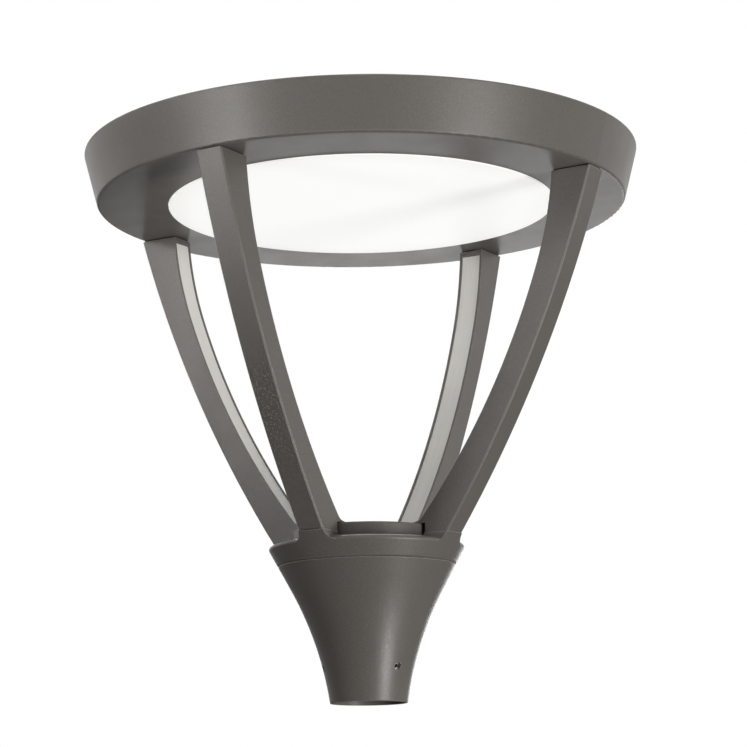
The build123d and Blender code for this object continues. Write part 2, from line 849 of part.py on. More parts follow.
def make_surge_protector():
    """Surge protector on the tray."""
    return eared_case(surge_l, surge_w, surge_h, surge_x, surge_y)


def make_surge_screws():
    """Screws of the surge protector."""
    return [screw(m4, x, y, gear_z + driver_ear_t, tray_z + 0.2) for x, y in surge_screw_points()]


def make_terminal_block():
    """Three-pole terminal block with stepped ends."""
    ear = terminal_ear
    ear_t = terminal_ear_t
    half = terminal_l / 2
    outline = Polyline(
        (-half, 0), (half, 0), (half, ear_t), (half - ear, ear_t), (half - ear, terminal_h),
        (ear - half, terminal_h), (ear - half, ear_t), (-half, ear_t), close=True,
    )
    body = extrude(Plane.XZ * make_face(outline), terminal_w / 2, both=True)
    body = Pos(terminal_x, terminal_y, gear_z) * body
    pitch = (terminal_l - 2 * ear) / 3
    for i in (-1, 0, 1):
        low = gear_z + terminal_h - terminal_hole_h
        body -= cylinder(terminal_hole_r, low, low + terminal_hole_h, terminal_x + i * pitch, terminal_y)
    for x, y in terminal_screw_points():
        body -= cylinder(m4[0] + screw_gap, gear_z, gear_z + ear_t, x, y)
    return body


def make_terminal_screws():
    """Screws of the terminal block."""
    return [screw(m4, x, y, gear_z + terminal_ear_t, tray_z + 0.2) for x, y in terminal_screw_points()]


def make_driver_input_lead():
    """Lead from the terminal block to the end of the driver."""
    lift = gear_z + lead_lift
    end_x = driver_l / 2
    side_x = end_x + lead_bend
    start = (side_x, terminal_y + terminal_w / 2, lift)
    bend = (side_x, driver_y - lead_bend, lift)
    middle = (end_x + lead_bend * math.sqrt(0.5), driver_y - lead_bend * (1 - math.sqrt(0.5)), lift)
    end = (end_x, driver_y, lift)
    path = Curve() + [Line(start, bend), ThreePointArc(bend, middle, end)]
    return sweep(Plane(start, z_dir=(0, 1, 0)) * Circle(lead_r), path)


def make_driver_output_lead():
    """Lead from the side of the driver down through the tray to the boards' connector."""
    lift = gear_z + lead_lift
    side = driver_y - driver_w / 2
    turn = lead_lift - 1
    start = (0, side, lift)
    bend = (0, turn, lift)
    middle = (0, turn * (1 - math.sqrt(0.5)), lift - turn * (1 - math.sqrt(0.5)))
    low = (0, 0, lift - turn)
    path = Curve() + [Line(start, bend), ThreePointArc(bend, middle, low), Line(low, (0, 0, tray_z))]
    return sweep(Plane(start, z_dir=(0, -1, 0)) * Circle(grommet_r - grommet_wall - fit_gap), path)


def make_tray_grommet():
    """Rubber grommet in the middle of the tray."""
    body = cylinder(grommet_r, tray_z, gear_z)
    body += cylinder(grommet_r + grommet_flange, gear_z, gear_z + grommet_flange_t)
    body -= cylinder(grommet_r - grommet_wall, tray_z, gear_z + grommet_flange_t)
    return body


def make_cover_gasket():
    """Flat gasket between the ledge and the top cover."""
    body = ring(ledge_r, recess_r - cover_gap, ledge_z, cover_z)
    for turn in angles(cover_screw_count, 180 / cover_screw_count):
        body -= Rot(0, 0, turn) * cylinder(m4[0] + screw_gap, ledge_z, cover_z, cover_circle)
    return body


def make_top_cover():
    """Low domed lid that drops into the rim."""
    edge_r = recess_r - cover_gap
    dome_r = ledge_r - 2
    crown = cover_z + cover_dome
    outline = Curve() + [
        TangentArc((0, crown), (dome_r, cover_z), tangent=(1, 0)),
        Line((dome_r, cover_z), (edge_r, cover_z)),
        Line((edge_r, cover_z), (edge_r, cover_z + cover_t)),
        Line((edge_r, cover_z + cover_t), (dome_r, cover_z + cover_t)),
        reversed_arc(TangentArc((0, crown + cover_t), (dome_r, cover_z + cover_t), tangent=(1, 0))),
        Line((0, crown + cover_t), (0, crown)),
    ]
    body = turned(outline)
    for turn in angles(cover_screw_count, 180 / cover_screw_count):
        body -= Rot(0, 0, turn) * cylinder(m4[0] + screw_gap, cover_z, cover_z + cover_t, cover_circle)
    return body


def make_cover_screws():
    """Screws of the top cover."""
    return around(
        screw(m4, cover_circle, 0, cover_z + cover_t, ledge_z - ledge_t - 2),
        angles(cover_screw_count, 180 / cover_screw_count),
    )


def save(name, shape):
    """Write one piece, or a group of like pieces, to its own file."""
    if isinstance(shape, list):
        shape = Compound(children=[Solid(part.solids()[0].wrapped) for part in shape])
    export_step(shape, "parts/" + name + ".step")


save("neck", make_neck())
save("grub_screws", make_grub_screws())
save("hub_ring", make_hub_ring())
save("neck_screws", make_neck_screws())
save("hub_cap", make_hub_cap())
save("hub_cap_screw", make_hub_cap_screw())
arm = make_arm()
arm_cover = make_arm_cover()
arm_seal = make_arm_seal()
for number, turn in enumerate(angles(arm_count), start=1):
    save("arm_" + str(number), Rot(0, 0, turn) * arm)
    save("arm_cover_" + str(number), Rot(0, 0, turn) * arm_cover)
    save("arm_seal_" + str(number), Rot(0, 0, turn) * arm_seal)
save("arm_foot_screws", make_arm_foot_screws())
save("arm_head_screws", make_arm_head_screws())
save("head_housing", make_head_housing())
save("cable_grommet", make_cable_grommet())
save("diffuser", make_diffuser())
save("diffuser_gasket", make_diffuser_gasket())
save("clamp_ring", make_clamp_ring())
save("clamp_screws", make_clamp_screws())
save("side_reflector", make_side_reflector())
save("gear_tray", make_gear_tray())
save("tray_screws", make_tray_screws())
led_board = make_led_board()
for number, turn in enumerate(angles(board_count), start=1):
    save("led_board_" + str(number), Rot(0, 0, turn) * led_board)
save("led_packages", make_led_packages())
save("board_screws", make_board_screws())
save("board_connector", make_board_connector())
save("led_driver", make_led_driver())
save("driver_screws", make_driver_screws())
save("terminal_block", make_terminal_block())
save("terminal_screws", make_terminal_screws())
save("surge_protector", make_surge_protector())
save("surge_screws", make_surge_screws())
save("driver_input_lead", make_driver_input_lead())
save("driver_output_lead", make_driver_output_lead())
save("tray_grommet", make_tray_grommet())
save("cover_gasket", make_cover_gasket())
save("top_cover", make_top_cover())
save("cover_screws", make_cover_screws())
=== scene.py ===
import math
from collections import namedtuple

import bmesh
import bpy
from bpy.props import FloatProperty, FloatVectorProperty, IntProperty, PointerProperty
from mathutils import Matrix, Vector


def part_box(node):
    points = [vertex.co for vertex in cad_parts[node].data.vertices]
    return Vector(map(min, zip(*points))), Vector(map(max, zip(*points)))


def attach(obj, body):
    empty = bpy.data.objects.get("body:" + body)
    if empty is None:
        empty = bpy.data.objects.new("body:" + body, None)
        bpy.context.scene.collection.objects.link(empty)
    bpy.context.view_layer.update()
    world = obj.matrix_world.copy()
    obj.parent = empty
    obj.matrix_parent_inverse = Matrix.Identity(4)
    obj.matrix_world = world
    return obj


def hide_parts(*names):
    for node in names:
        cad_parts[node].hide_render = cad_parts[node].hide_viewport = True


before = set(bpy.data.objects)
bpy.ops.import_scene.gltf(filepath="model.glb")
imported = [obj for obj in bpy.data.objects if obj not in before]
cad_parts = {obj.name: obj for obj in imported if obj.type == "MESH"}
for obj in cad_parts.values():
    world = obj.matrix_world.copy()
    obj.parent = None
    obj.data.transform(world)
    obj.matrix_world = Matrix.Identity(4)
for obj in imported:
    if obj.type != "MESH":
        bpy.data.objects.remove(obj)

bl_info = {
    "name": "Post-top lantern",
    "version": (1, 0, 0),
    "blender": (4, 5, 0),
    "location": "3D View > Sidebar > Lantern",
    "description": "Finishes, fasteners, light source and studio for a post-top LED lantern",
    "category": "Object",
}

ROOT = "root"
MM_PER_METRE = 1000
WHITE = (1.0, 1.0, 1.0, 1.0)
UP = Vector((0, 0, 1))
NUMBER, VECTOR, WHOLE = "NodeSocketFloat", "NodeSocketVector", "NodeSocketInt"
GEOMETRY, FINISH = "NodeSocketGeometry", "NodeSocketMaterial"
# Layout of a node tree
COLUMNS, COLUMN_WIDTH, ROW_HEIGHT = 8, 220, 320

# CAD nodes that share a finish
ARMS = range(1, 5)
CASTINGS = ["neck", "hub_ring", "hub_cap", "head_housing", "top_cover", *(f"arm_{k}" for k in ARMS)]
STRIPS = [f"arm_cover_{k}" for k in ARMS]
SEALS = [
    "diffuser_gasket", "cover_gasket", "cable_grommet", "tray_grommet", *(f"arm_seal_{k}" for k in ARMS)]
SHEETS = ["gear_tray", "clamp_ring"]
BOARDS = [f"led_board_{k}" for k in range(1, 5)]
MOULDINGS = {
    "white_plastic": ["terminal_block", "board_connector"],
    "grey_plastic": ["surge_protector"],
    "driver_case": ["led_driver"],
    "lead_sheath": ["driver_input_lead", "driver_output_lead"],
}

# Thread pitch of each node's screws, in millimetres
SCREWS = {
    "grub_screws": 1.25,
    "neck_screws": 1.0,
    "hub_cap_screw": 1.0,
    "arm_foot_screws": 1.0,
    "arm_head_screws": 1.0,
    "clamp_screws": 0.7,
    "tray_screws": 0.8,
    "cover_screws": 0.7,
    "driver_screws": 0.7,
    "board_screws": 0.5,
    "terminal_screws": 0.7,
    "surge_screws": 0.5,
}

# Corners of a CAD mesh this near to each other, in metres, are one
SAME_PLACE = 1e-6

# Screws: sides of the turned parts, the key socket and the thread's section, and steps in one turn of it
HEAD_SIDES = 28
SHANK_SIDES = 20
KEY_SIDES = 6
TOOTH_SIDES = 4
TURN_STEPS = 14
# Pitches that the thread leaves free at the two ends of the shank together
RUN_OUT = 1.2
# A head is wider than its shank by more than this, and this share of the length counts as an end
HEAD_STEP = 1.05
END_SHARE = 0.02
# Depth of the key socket as a share of the head's height, also for the outer end of a set screw, and
# the share of a set screw's length that is made as its head
KEY_DEPTH = 0.6
SET_KEY_DEPTH = 0.9
SET_HEAD_SHARE = 0.6

# Chips: share of the height that is body, and fineness of the domed window
BODY_SHARE = 0.8
DOME_SEGMENTS = 16
DOME_RINGS = 8

# Masks: detail and roughness of fine noise, and the part of a pattern's range that is spread over 0 to 1
FINE = (3.0, 0.6)
GRAIN_SPAN = (0.3, 0.7)
STREAK_SPAN = (0.25, 0.75)
STAIN_SPAN = (0.35, 0.7)
FLECK_SPAN = (0.78, 1.0)
TRACK_SPAN = (0.84, 0.90)
# Cosine of the angle between the true and the rounded normal, where an edge begins and where it is full
EDGE_SPAN = (0.995, 0.90)
BEVEL_SAMPLES = 6
# Widths of a patch and of a wave in the relief, in grains, and width of a stain in metres
PATCH_GRAINS = 40.0
RELIEF_GRAINS = 1.6
STAIN_WIDTH = 0.06
# How far coordinates are squeezed along rolled streaks and drawn lines, which makes them long
STREAK_SQUEEZE = 0.03
LINE_SQUEEZE = 0.02
# Shares of drawn lines and of speckle in the tone of a strip
LINE_SHARE = 0.6
SPECKLE_SHARE = 0.4
# Scale of the ring wave whose crests are a board's tracks
TRACK_SCALE = 9.0

# Surfaces: width of a grain, radius of a softened edge and height of the relief in metres, roughness,
# what the pattern adds to it, and the colour's share in the darkest and the lightest places
Surface = namedtuple("Surface", "grain edge relief roughness unevenness dark light", defaults=[1.0])
SURFACES = {
    "black_rubber": Surface(0.0006, 0.0004, 0.00003, 0.62, 0.08, 0.93),
    "white_coat": Surface(0.0009, 0.0004, 0.00002, 0.48, 0.08, 0.93),
    "white_plastic": Surface(0.0008, 0.0004, 0.00002, 0.44, 0.08, 0.93),
    "grey_plastic": Surface(0.0010, 0.0004, 0.00004, 0.50, 0.08, 0.93),
    "driver_case": Surface(0.0012, 0.0004, 0.00004, 0.46, 0.08, 0.93),
    "lead_sheath": Surface(0.0015, 0.0004, 0.00002, 0.40, 0.08, 0.93),
    "chip_body": Surface(0.0003, 0.0004, 0.000005, 0.40, 0.08, 0.93),
    "painted_socket_shade": Surface(0.0005, 0.0004, 0.00002, 0.55, 0.08, 0.93),
    "opal": Surface(0.0012, 0.0008, 0.00001, 0.55, 0.03, 0.985),
    "grey_strip": Surface(0.0007, 0.0003, 0.00002, 0.40, 0.10, 0.88, 1.09),
    "screw_steel": Surface(0.0003, 0.00015, 0.00001, 0.14, 0.12, 0.82),
    "bare_aluminium": Surface(0.0006, 0.0003, 0.00001, 0.30, 0.12, 0.86),
    "board_white": Surface(0.0008, None, 0.00004, 0.30, 0.08, 0.96),
    "led_yellow": Surface(0.0002, None, None, 0.18, 0.10, 0.90),
}

# Lamps: turn round the lantern from the camera in degrees, height and distance in metres, width and
# height of the soft box in metres, power in watts, height it aims at in metres, and angle of its grid in
# degrees
Lamp = namedtuple("Lamp", "name turn height distance wide tall power aim grid")
LAMPS = [
    Lamp("key_lamp", 46.5, -0.68, 2.6, 0.7, 1.4, 69.0, 0.3, 180.0),
    Lamp("rim_lamp", -55.5, -0.05, 2.6, 1.9, 0.3, 1.2, 0.62, 16.0),
    Lamp("side_lamp", -65.0, 1.05, 2.6, 0.6, 0.5, 18.0, 0.35, 180.0),
    Lamp("low_lamp", 172.3, 0.12, 3.0, 1.8, 0.5, 11.0, 0.4, 180.0),
    Lamp("rear_lamp", 190.0, 2.50, 2.2, 1.8, 1.2, 45.0, 0.35, 180.0),
    Lamp("top_lamp", 20.0, 2.60, 1.0, 1.2, 1.2, 26.0, 0.3, 180.0),
]
SENSOR_WIDTH = 36.0

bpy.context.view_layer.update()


# Settings

class CoatSettings(bpy.types.PropertyGroup):
    """Graphite powder coat of the castings"""
    colour: FloatVectorProperty(
        name="Coat", description="Colour of the powder coat", subtype="COLOR", size=3, min=0, max=1,
        default=(0.107, 0.097, 0.087))
    # The flake colour is also the colour of the painted edge highlight
    fleck_and_highlight_colour: FloatVectorProperty(
        name="Fleck", description="Colour of the metal flakes in the coat", subtype="COLOR", size=3,
        min=0, max=1, default=(0.30, 0.285, 0.26))
    grain: FloatProperty(
        name="Grain", description="Width of one grain of the coat", unit="LENGTH", min=0.0001, max=0.01,
        default=0.0008, precision=5)
    relief: FloatProperty(
        name="Relief", description="Height of the orange-peel of the coat", unit="LENGTH", min=0,
        max=0.001, default=0.00006, precision=6)
    edge: FloatProperty(
        name="Edge", description="Radius that the coat gives to a sharp edge", unit="LENGTH", min=0,
        max=0.005, default=0.0009, precision=5)
    roughness: FloatProperty(
        name="Roughness", description="Roughness of the coat", subtype="FACTOR", min=0, max=1, default=0.35)
    patch_roughness: FloatProperty(
        name="Patch roughness", description="Roughness that a broad patch adds", subtype="FACTOR", min=0,
        max=1, default=0.05)
    grain_roughness: FloatProperty(
        name="Grain roughness", description="Roughness that a grain adds", subtype="FACTOR", min=0, max=1,
        default=0.06)
    shine: FloatProperty(
        name="Shine", description="Strength of the coat's reflections", subtype="FACTOR", min=0, max=1,
        default=0.36)
    mottle: FloatProperty(
        name="Mottle", description="How far the grains lighten and darken the coat", subtype="FACTOR",
        min=0, max=1, default=0.19)
    fleck_share: FloatProperty(
        name="Fleck share", description="How much of its colour a flake adds", subtype="FACTOR", min=0, max=1,
        default=0.16)
    sparkle: FloatProperty(
        name="Sparkle", description="How metallic a flake is", subtype="FACTOR", min=0, max=1, default=0.3)
    # Painted highlight: how far edges are painted towards the flake colour
    painted_highlight_share: FloatProperty(
        name="Edge share", description="How far the coat pales on an edge", subtype="FACTOR", min=0, max=1,
        default=0.9)


class PlasticSettings(bpy.types.PropertyGroup):
    """Opal diffuser, arm strips, rubber and mouldings"""
    opal: FloatVectorProperty(
        name="Opal", description="Colour of the diffuser", subtype="COLOR", size=3, min=0, max=1,
        default=(0.3, 0.303, 0.295))
    # Painted glow: emission paints the diffuser near white and washes out the shadows cast on it
    glow: FloatProperty(
        name="Glow", description="Strength of the light that comes through the diffuser", min=0, max=5,
        default=0.73)
    glow_middle: FloatVectorProperty(
        name="Glow in the middle", description="Colour of the light in the middle of the diffuser",
        subtype="COLOR", size=3, min=0, max=1, default=(1.0, 1.0, 0.98))
    # Painted shade: the glow's colour is darker at the rim
    rim_glow_with_painted_shade: FloatVectorProperty(
        name="Glow at the rim", description="Colour of the light at the diffuser's rim", subtype="COLOR",
        size=3, min=0, max=1, default=(0.93, 0.91, 0.88))
    painted_rim_shade: FloatProperty(
        name="Rim shade", description="Width of the shaded band at the diffuser's rim", unit="LENGTH",
        min=0, max=0.2, default=0.04)
    opal_shine: FloatProperty(
        name="Opal shine", description="Strength of the diffuser's reflections", subtype="FACTOR", min=0,
        max=1, default=0.3)
    strip: FloatVectorProperty(
        name="Strips", description="Colour of the strips in the arms", subtype="COLOR", size=3, min=0, max=1,
        default=(0.65, 0.637, 0.604))
    strip_shine: FloatProperty(
        name="Strip shine", description="Strength of the strips' reflections", subtype="FACTOR", min=0, max=1,
        default=0.25)
    strip_sparkle: FloatProperty(
        name="Strip sparkle", description="How metallic a flake in the strips is", subtype="FACTOR", min=0,
        max=1, default=0.35)
    strip_line: FloatProperty(
        name="Strip line", description="Width of one drawn line on a strip", unit="LENGTH", min=0.0001,
        max=0.02, default=0.0022, precision=5)
    rubber: FloatVectorProperty(
        name="Rubber", description="Colour of seals and gaskets", subtype="COLOR", size=3, min=0, max=1,
        default=(0.018, 0.018, 0.018))
    white: FloatVectorProperty(
        name="White plastic", description="Colour of the terminal block and plugs", subtype="COLOR",
        size=3, min=0, max=1, default=(0.80, 0.80, 0.77))
    grey: FloatVectorProperty(
        name="Grey plastic", description="Colour of the surge protector", subtype="COLOR", size=3, min=0,
        max=1, default=(0.26, 0.27, 0.28))
    case: FloatVectorProperty(
        name="Driver case", description="Colour of the driver's case", subtype="COLOR", size=3, min=0, max=1,
        default=(0.74, 0.74, 0.72))
    sheath: FloatVectorProperty(
        name="Sheath", description="Colour of the leads", subtype="COLOR", size=3, min=0, max=1,
        default=(0.52, 0.52, 0.50))


class MetalSettings(bpy.types.PropertyGroup):
    """Screws, sheet aluminium and the white reflector"""
    steel: FloatVectorProperty(
        name="Steel", description="Colour of the screws", subtype="COLOR", size=3, min=0, max=1,
        default=(0.80, 0.79, 0.77))
    # Painted shade: the key sockets are coloured dark for the shade inside them
    socket: FloatVectorProperty(
        name="Painted socket shade", description="Colour inside the key sockets", subtype="COLOR", size=3, min=0,
        max=1, default=(0.035, 0.032, 0.029))
    aluminium: FloatVectorProperty(
        name="Aluminium", description="Colour of the tray and clamp ring", subtype="COLOR", size=3, min=0,
        max=1, default=(0.72, 0.72, 0.73))
    white: FloatVectorProperty(
        name="Reflector", description="Colour of the side reflector", subtype="COLOR", size=3, min=0, max=1,
        default=(0.86, 0.86, 0.84))
    thread_depth: FloatProperty(
        name="Thread depth", description="Depth of a thread as a share of its pitch", subtype="FACTOR",
        min=0.1, max=0.6, default=0.35)
    socket_share: FloatProperty(
        name="Socket radius", description="Radius of the key socket as a share of the head's",
        subtype="FACTOR", min=0.2, max=0.8, default=0.55)
    seed: IntProperty(name="Seed", description="Picks how far each screw is turned", min=0, default=7)


class LightSettings(bpy.types.PropertyGroup):
    """Boards and chips of the light source"""
    board: FloatVectorProperty(
        name="Board", description="Colour of the boards", subtype="COLOR", size=3, min=0, max=1,
        default=(0.84, 0.85, 0.83))
    body: FloatVectorProperty(
        name="Chip body", description="Colour of a chip's body", subtype="COLOR", size=3, min=0, max=1,
        default=(0.80, 0.80, 0.76))
    phosphor: FloatVectorProperty(
        name="Phosphor", description="Colour of a chip's window", subtype="COLOR", size=3, min=0, max=1,
        default=(0.83, 0.58, 0.10))
    track: FloatVectorProperty(
        name="Tracks", description="Colour of the copper tracks under the mask", subtype="COLOR", size=3,
        min=0, max=1, default=(0.62, 0.60, 0.50))
    track_share: FloatProperty(
        name="Track share", description="How clearly the tracks show", subtype="FACTOR", min=0, max=1,
        default=0.35)
    window: FloatProperty(
        name="Window", description="Width of a chip's window as a share of its body", subtype="FACTOR",
        min=0.3, max=0.95, default=0.78)


class StageSettings(bpy.types.PropertyGroup):
    """Floor, lamps and camera"""
    drop: FloatProperty(
        name="Floor below", description="Distance from the socket's mouth to the floor", unit="LENGTH",
        min=0.5, max=10, default=3.6)
    reach: FloatProperty(
        name="Floor size", description="Half the width of the floor", unit="LENGTH", min=5, max=300,
        default=120)
    floor: FloatVectorProperty(
        name="Floor", description="Colour of the floor", subtype="COLOR", size=3, min=0, max=1,
        default=(0.80, 0.80, 0.80))
    paleness: FloatProperty(
        name="Paleness", description="How far the camera sees the floor as white", subtype="FACTOR", min=0,
        max=1, default=0.75)
    ambient: FloatProperty(
        name="Ambient", description="Strength of the even light from all round", min=0, max=2, default=0.09)
    turn: FloatProperty(
        name="Camera turn", description="Where the camera stands round the lantern", unit="ROTATION",
        default=math.radians(31.897))
    distance: FloatProperty(
        name="Camera distance", description="Level distance from the lantern's axis", unit="LENGTH",
        default=2.643)
    height: FloatProperty(
        name="Camera height", description="Height of the camera over the socket's mouth", unit="LENGTH",
        default=-0.160)
    tilt: FloatProperty(
        name="Camera tilt", description="How far the camera looks up", unit="ROTATION",
        default=math.radians(10.956))
    swing: FloatProperty(
        name="Camera swing", description="How far the camera looks to the right of the axis", unit="ROTATION",
        default=math.radians(0.222))
    roll: FloatProperty(
        name="Camera roll", description="How far the camera leans", unit="ROTATION",
        default=math.radians(-0.931))
    lens: FloatProperty(name="Lens", description="Focal length", unit="CAMERA", default=120.84)


# Node building

def fill(tree, node, inputs):
    """Links or sets a node's inputs, by name or place."""
    for name, value in inputs.items():
        if isinstance(value, bpy.types.NodeSocket):
            tree.links.new(value, node.inputs[name])
        else:
            node.inputs[name].default_value = value


def put(tree, kind, inputs=None, **settings):
    """Adds a node. Inputs are values or sockets, by name or place; settings are the node's own."""
    made = tree.nodes.new(kind)
    count = len(tree.nodes)
    made.location = (COLUMN_WIDTH * (count % COLUMNS), -ROW_HEIGHT * (count // COLUMNS))
    for name, value in settings.items():
        setattr(made, name, value)
    fill(tree, made, inputs or {})
    return made


def maths(tree, operation, first, second=0.0, third=0.0):
    """Result of a maths node."""
    return put(tree, "ShaderNodeMath", {0: first, 1: second, 2: third}, operation=operation).outputs[0]


def vector(tree, **parts):
    """Vector of the given coordinates, with 0 for the others."""
    return put(tree, "ShaderNodeCombineXYZ", parts).outputs[0]


def split(tree, place):
    """X, Y and Z of a vector."""
    return put(tree, "ShaderNodeSeparateXYZ", {0: place}).outputs


def object_place(tree):
    """Coordinates in the object's own frame, in metres."""
    return put(tree, "ShaderNodeTexCoord").outputs["Object"]


def blend_colours(tree, share, low, high):
    """Colour between two by a share. The Mix node's colours are its inputs 6 and 7 and its output 2."""
    return put(tree, "ShaderNodeMix", {0: share, 6: low, 7: high}, data_type="RGBA").outputs[2]


def spread(tree, value, low, high):
    """How far a value has come from low to high, kept between 0 and 1."""
    names = {"Value": value, "From Min": low, "From Max": high}
    return put(tree, "ShaderNodeMapRange", names, clamp=True).outputs[0]


def noise(tree, place, size, detail=2.0, roughness=0.5):
    """Noise whose grains are about as wide as the size."""
    scale = maths(tree, "DIVIDE", 1.0, size)
    names = {"Vector": place, "Scale": scale, "Detail": detail, "Roughness": roughness}
    return put(tree, "ShaderNodeTexNoise", names).outputs[0]


def bump(tree, height, depth, normal=None):
    """Normal of a relief with a real depth, on top of another normal."""
    inputs = {"Strength": 1.0, "Distance": depth, "Height": height}
    if normal is not None:
        inputs["Normal"] = normal
    return put(tree, "ShaderNodeBump", inputs).outputs[0]


def rgba(colour, share=1.0):
    """Opaque colour, made darker or lighter by a share."""
    return (*(channel * share for channel in colour), 1.0)


def new_group(name, kind, inputs, outputs):
    """Node group with named sockets. Returns the tree and its input node's sockets."""
    tree = bpy.data.node_groups.new(name, kind)
    for label, (socket, default) in inputs.items():
        made = tree.interface.new_socket(name=label, in_out="INPUT", socket_type=socket)
        if default is not None:
            made.default_value = default
    for label, socket in outputs.items():
        tree.interface.new_socket(name=label, in_out="OUTPUT", socket_type=socket)
    return tree, put(tree, "NodeGroupInput").outputs


def soft_edges(name):
    """Rounds sharp edges in the shading and marks them."""
    tree, given = new_group(
        name, "ShaderNodeTree", {"Radius": (NUMBER, 0.001)}, {"Normal": VECTOR, "Edge": NUMBER})
    rounded = put(tree, "ShaderNodeBevel", {"Radius": given["Radius"]}, samples=BEVEL_SAMPLES).outputs[0]
    flat = put(tree, "ShaderNodeNewGeometry").outputs["Normal"]
    likeness = put(
        tree, "ShaderNodeVectorMath", {0: rounded, 1: flat}, operation="DOT_PRODUCT").outputs["Value"]
    put(tree, "NodeGroupOutput", {"Normal": rounded, "Edge": spread(tree, likeness, *EDGE_SPAN)})
    return tree


def surface_grain(name):
    """Fine speckle, flakes, broad patches and relief of a sprayed or moulded surface."""
    tree, given = new_group(
        name, "ShaderNodeTree", {"Size": (NUMBER, 0.001)},
        {"Speckle": NUMBER, "Fleck": NUMBER, "Patch": NUMBER, "Relief": NUMBER})
    place = object_place(tree)
    size = given["Size"]
    names = {"Vector": place, "Scale": maths(tree, "DIVIDE", 1.0, size)}
    cells = put(tree, "ShaderNodeTexVoronoi", names).outputs["Color"]
    lightness = put(tree, "ShaderNodeSeparateColor", {0: cells}).outputs[0]
    broad = maths(tree, "MULTIPLY", size, PATCH_GRAINS)
    wave = maths(tree, "MULTIPLY", size, RELIEF_GRAINS)
    put(tree, "NodeGroupOutput", {
        "Speckle": spread(tree, noise(tree, place, size, *FINE), *GRAIN_SPAN),
        "Fleck": spread(tree, lightness, *FLECK_SPAN),
        "Patch": spread(tree, noise(tree, place, broad), *GRAIN_SPAN),
        "Relief": noise(tree, place, wave, detail=1.0),
    })
    return tree


def rolled_streaks(name):
    """Long fine streaks along X, as on rolled sheet, and broad faint stains."""
    tree, given = new_group(
        name, "ShaderNodeTree", {"Width": (NUMBER, 0.0006)}, {"Streak": NUMBER, "Stain": NUMBER})
    place = object_place(tree)
    long = put(tree, "ShaderNodeMapping", {"Vector": place, "Scale": (STREAK_SQUEEZE, 1.0, 1.0)}).outputs[0]
    streak = spread(tree, noise(tree, long, given["Width"], *FINE), *STREAK_SPAN)
    stain = spread(tree, noise(tree, place, STAIN_WIDTH, detail=3.0), *STAIN_SPAN)
    put(tree, "NodeGroupOutput", {"Streak": streak, "Stain": stain})
    return tree


GROUPS = {"Soft edges": soft_edges, "Surface grain": surface_grain, "Rolled streaks": rolled_streaks}


def use_group(tree, name, **inputs):
    """Places a shared group in a material, and makes the group on its first use."""
    group = bpy.data.node_groups.get(name) or GROUPS[name](name)
    return put(tree, "ShaderNodeGroup", inputs, node_tree=group).outputs


def new_material(name):
    """Material with an empty Principled shader. Returns the material, its tree and the shader."""
    material = bpy.data.materials.new(name)
    material.use_nodes = True
    tree = material.node_tree
    tree.nodes.clear()
    shader = put(tree, "ShaderNodeBsdfPrincipled")
    put(tree, "ShaderNodeOutputMaterial", {"Surface": shader.outputs[0]})
    return material, tree, shader


def feed(tree, shader, **sockets):
    """Links or sets the shader's sockets, with underscores for spaces."""
    fill(tree, shader, {name.replace("_", " "): value for name, value in sockets.items()})


# Finishes

def grained(name, colour, **sockets):
    """Grained surface with darker patches and soft edges. Returns the material, its tree and the shader."""
    kind = SURFACES[name]
    material, tree, shader = new_material(name)
    grain = use_group(tree, "Surface grain", Size=kind.grain)
    edges = use_group(tree, "Soft edges", Radius=kind.edge)
    feed(
        tree, shader, Base_Color=blend_colours(tree, grain["Patch"], rgba(colour, kind.dark), rgba(colour)),
        Roughness=maths(tree, "MULTIPLY_ADD", grain["Speckle"], kind.unevenness, kind.roughness),
        Normal=bump(tree, grain["Relief"], kind.relief, edges["Normal"]), **sockets)
    return material, tree, shader


def moulded_plastic(name, colour):
    """Moulded plastic or rubber, or plain paint, with a faint grain."""
    return grained(name, colour)[0]


def zinc_steel(metal):
    """Plated screw steel with speckled gloss and duller patches."""
    return grained("screw_steel", metal.steel, Metallic=1.0)[0]


def opal_sheet(plastic):
    """Opal acrylic with a painted glow, whose colour is painted darker towards the rim as painted shade."""
    material, tree, shader = grained("opal", plastic.opal, Specular_IOR_Level=plastic.opal_shine)
    low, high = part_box("diffuser")
    radius = (high.x - low.x) / 2
    place = split(tree, object_place(tree))
    across = maths(tree, "POWER", place["X"], 2.0)
    along = maths(tree, "POWER", place["Y"], 2.0)
    away = maths(tree, "SQRT", maths(tree, "ADD", across, along))
    # Painted shade: the glow is darker over a band at the rim
    inside = spread(tree, away, radius, radius - plastic.painted_rim_shade)
    lit = blend_colours(tree, inside, rgba(plastic.rim_glow_with_painted_shade), rgba(plastic.glow_middle))
    feed(tree, shader, Emission_Color=lit, Emission_Strength=plastic.glow)
    return material


